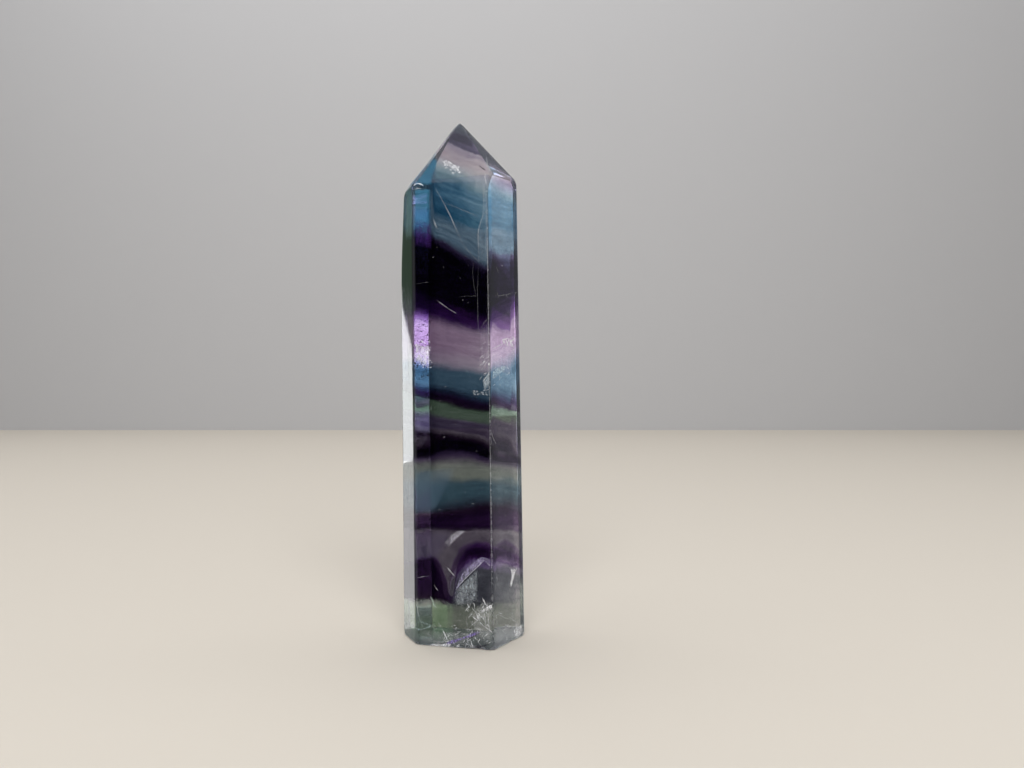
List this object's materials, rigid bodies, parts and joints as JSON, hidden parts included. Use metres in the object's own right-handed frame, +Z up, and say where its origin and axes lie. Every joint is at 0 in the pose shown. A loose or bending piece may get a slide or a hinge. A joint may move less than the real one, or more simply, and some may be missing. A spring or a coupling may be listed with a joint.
{
  "type": "fluorite point",
  "caption": "Polished fluorite tower: a six-sided see-through stone banded in purple, teal and green, with a faceted pointed tip and a flat sawn base to stand on.",
  "frame": {"origin": "middle of the stone's outline on the surface that it stands on", "axes": "+Z up the tower to its tip, -Y the way the widest polished side faces, +X to that side's right"},
  "size_m": [0.0242, 0.0182, 0.1],
  "materials": {
    "fluorite": "polished, see-through, banded purple, teal, grey and green"
  },
  "bodies": {
    "root": {"fluorite_point": "fluorite"}
  },
  "joints": []
}
